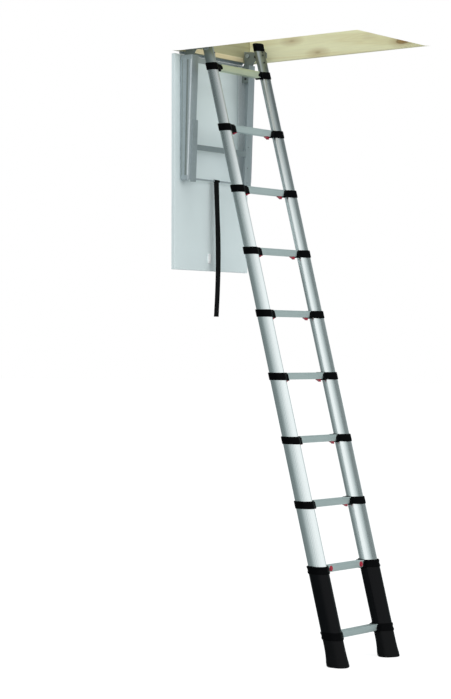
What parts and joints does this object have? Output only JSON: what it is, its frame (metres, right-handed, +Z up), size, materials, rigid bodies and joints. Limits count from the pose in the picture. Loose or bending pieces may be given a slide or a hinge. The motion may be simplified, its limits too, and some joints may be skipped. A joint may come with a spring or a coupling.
{
  "type": "telescoping loft ladder",
  "caption": "Telescoping aluminium loft ladder on a folding steel cradle, with timber hatch casing, hinged hatch door and webbing pull strap.",
  "frame": {"origin": "middle of the outer face of the casing's hinge-side board", "axes": "+X along the hatch opening towards the ladder's feet, +Y across the opening to the climber's right seen from the floor side looking at the hatch door, +Z up"},
  "size_m": [1.0305, 0.594, 2.875],
  "materials": {
    "pine": "planed",
    "painted_board": "painted satin",
    "steel": "satin",
    "aluminium": "satin",
    "black_plastic": "fine texture",
    "rubber": "matt",
    "webbing": "woven",
    "red_plastic": "gloss"
  },
  "bodies": {
    "casing": {"casing_hinge_board": "pine", "casing_far_board": "pine", "casing_left_board": "pine", "casing_right_board": "pine", "door_hinge": "steel", "pivot_bracket_left": "steel", "pivot_bracket_right": "steel"},
    "door": {"hatch_door": "painted_board"},
    "cradle": {"cradle_frame": "steel", "pull_strap": "webbing"},
    "section_9": {"stile_left_9": "aluminium", "stile_right_9": "aluminium", "step_10": "aluminium", "top_cap_left": "black_plastic", "top_cap_right": "black_plastic"},
    "section_8": {"stile_left_8": "aluminium", "stile_right_8": "aluminium", "step_9": "aluminium"},
    "section_7": {"stile_left_7": "aluminium", "stile_right_7": "aluminium", "step_8": "aluminium"},
    "section_6": {"stile_left_6": "aluminium", "stile_right_6": "aluminium", "step_7": "aluminium"},
    "section_5": {"stile_left_5": "aluminium", "stile_right_5": "aluminium", "step_6": "aluminium"},
    "section_4": {"stile_left_4": "aluminium", "stile_right_4": "aluminium", "step_5": "aluminium"},
    "section_3": {"stile_left_3": "aluminium", "stile_right_3": "aluminium", "step_4": "aluminium"},
    "section_2": {"stile_left_2": "aluminium", "stile_right_2": "aluminium", "step_3": "aluminium"},
    "section_1": {"stile_left_1": "black_plastic", "stile_right_1": "black_plastic", "step_2": "aluminium", "step_1": "aluminium", "foot_left": "rubber", "foot_right": "rubber"},
    "button_left": {"release_button_left": "red_plastic"},
    "tab_left_3": {"release_tab_left_3": "red_plastic"},
    "tab_left_4": {"release_tab_left_4": "red_plastic"},
    "tab_left_5": {"release_tab_left_5": "red_plastic"},
    "tab_left_6": {"release_tab_left_6": "red_plastic"},
    "tab_left_7": {"release_tab_left_7": "red_plastic"},
    "tab_left_8": {"release_tab_left_8": "red_plastic"},
    "tab_left_9": {"release_tab_left_9": "red_plastic"},
    "button_right": {"release_button_right": "red_plastic"},
    "tab_right_3": {"release_tab_right_3": "red_plastic"},
    "tab_right_4": {"release_tab_right_4": "red_plastic"},
    "tab_right_5": {"release_tab_right_5": "red_plastic"},
    "tab_right_6": {"release_tab_right_6": "red_plastic"},
    "tab_right_7": {"release_tab_right_7": "red_plastic"},
    "tab_right_8": {"release_tab_right_8": "red_plastic"},
    "tab_right_9": {"release_tab_right_9": "red_plastic"}
  },
  "joints": [
    {"name": "cradle_swing", "type": "hinge", "parent": "casing", "child": "cradle", "pos_m": [0.048, 0, -0.04], "axis": [0, -1, 0], "range_deg": [0, 64]},
    {"name": "hatch_hinge", "type": "hinge", "parent": "casing", "child": "door", "pos_m": [0.004, 0, -0.0755], "axis": [0, -1, 0], "range_deg": [0, 64]},
    {"name": "ladder_tilt", "type": "hinge", "parent": "cradle", "child": "section_9", "pos_m": [0.1366, 0, -0.04703], "axis": [0, 1, 0], "range_deg": [0, 14]},
    {"name": "section_8_slide", "type": "slide", "parent": "section_9", "child": "section_8", "axis": [-0.2521, 0, 0.9677], "range_m": [0, 0.244]},
    {"name": "section_7_slide", "type": "slide", "parent": "section_8", "child": "section_7", "axis": [-0.2521, 0, 0.9677], "range_m": [0, 0.244]},
    {"name": "section_6_slide", "type": "slide", "parent": "section_7", "child": "section_6", "axis": [-0.2521, 0, 0.9677], "range_m": [0, 0.244]},
    {"name": "section_5_slide", "type": "slide", "parent": "section_6", "child": "section_5", "axis": [-0.2521, 0, 0.9677], "range_m": [0, 0.244]},
    {"name": "section_4_slide", "type": "slide", "parent": "section_5", "child": "section_4", "axis": [-0.2521, 0, 0.9677], "range_m": [0, 0.244]},
    {"name": "section_3_slide", "type": "slide", "parent": "section_4", "child": "section_3", "axis": [-0.2521, 0, 0.9677], "range_m": [0, 0.244]},
    {"name": "section_2_slide", "type": "slide", "parent": "section_3", "child": "section_2", "axis": [-0.2521, 0, 0.9677], "range_m": [0, 0.244]},
    {"name": "section_1_slide", "type": "slide", "parent": "section_2", "child": "section_1", "axis": [-0.2521, 0, 0.9677], "range_m": [0, 0.244]},
    {"name": "button_left_press", "type": "slide", "parent": "section_1", "child": "button_left", "axis": [-1, 0, 0], "range_m": [0, 0.0035], "stiffness_N_per_m": 300},
    {"name": "tab_left_3_release", "type": "slide", "parent": "section_2", "child": "tab_left_3", "axis": [0, 1, 0], "range_m": [0, 0.005], "stiffness_N_per_m": 200},
    {"name": "tab_left_4_release", "type": "slide", "parent": "section_3", "child": "tab_left_4", "axis": [0, 1, 0], "range_m": [0, 0.005], "stiffness_N_per_m": 200},
    {"name": "tab_left_5_release", "type": "slide", "parent": "section_4", "child": "tab_left_5", "axis": [0, 1, 0], "range_m": [0, 0.005], "stiffness_N_per_m": 200},
    {"name": "tab_left_6_release", "type": "slide", "parent": "section_5", "child": "tab_left_6", "axis": [0, 1, 0], "range_m": [0, 0.005], "stiffness_N_per_m": 200},
    {"name": "tab_left_7_release", "type": "slide", "parent": "section_6", "child": "tab_left_7", "axis": [0, 1, 0], "range_m": [0, 0.005], "stiffness_N_per_m": 200},
    {"name": "tab_left_8_release", "type": "slide", "parent": "section_7", "child": "tab_left_8", "axis": [0, 1, 0], "range_m": [0, 0.005], "stiffness_N_per_m": 200},
    {"name": "tab_left_9_release", "type": "slide", "parent": "section_8", "child": "tab_left_9", "axis": [0, 1, 0], "range_m": [0, 0.005], "stiffness_N_per_m": 200},
    {"name": "button_right_press", "type": "slide", "parent": "section_1", "child": "button_right", "axis": [-1, 0, 0], "range_m": [0, 0.0035], "stiffness_N_per_m": 300},
    {"name": "tab_right_3_release", "type": "slide", "parent": "section_2", "child": "tab_right_3", "axis": [0, -1, 0], "range_m": [0, 0.005], "stiffness_N_per_m": 200},
    {"name": "tab_right_4_release", "type": "slide", "parent": "section_3", "child": "tab_right_4", "axis": [0, -1, 0], "range_m": [0, 0.005], "stiffness_N_per_m": 200},
    {"name": "tab_right_5_release", "type": "slide", "parent": "section_4", "child": "tab_right_5", "axis": [0, -1, 0], "range_m": [0, 0.005], "stiffness_N_per_m": 200},
    {"name": "tab_right_6_release", "type": "slide", "parent": "section_5", "child": "tab_right_6", "axis": [0, -1, 0], "range_m": [0, 0.005], "stiffness_N_per_m": 200},
    {"name": "tab_right_7_release", "type": "slide", "parent": "section_6", "child": "tab_right_7", "axis": [0, -1, 0], "range_m": [0, 0.005], "stiffness_N_per_m": 200},
    {"name": "tab_right_8_release", "type": "slide", "parent": "section_7", "child": "tab_right_8", "axis": [0, -1, 0], "range_m": [0, 0.005], "stiffness_N_per_m": 200},
    {"name": "tab_right_9_release", "type": "slide", "parent": "section_8", "child": "tab_right_9", "axis": [0, -1, 0], "range_m": [0, 0.005], "stiffness_N_per_m": 200}
  ],
  "couplings": [
    {"joint": "hatch_hinge", "follows": "cradle_swing", "ratio": 1}
  ]
}
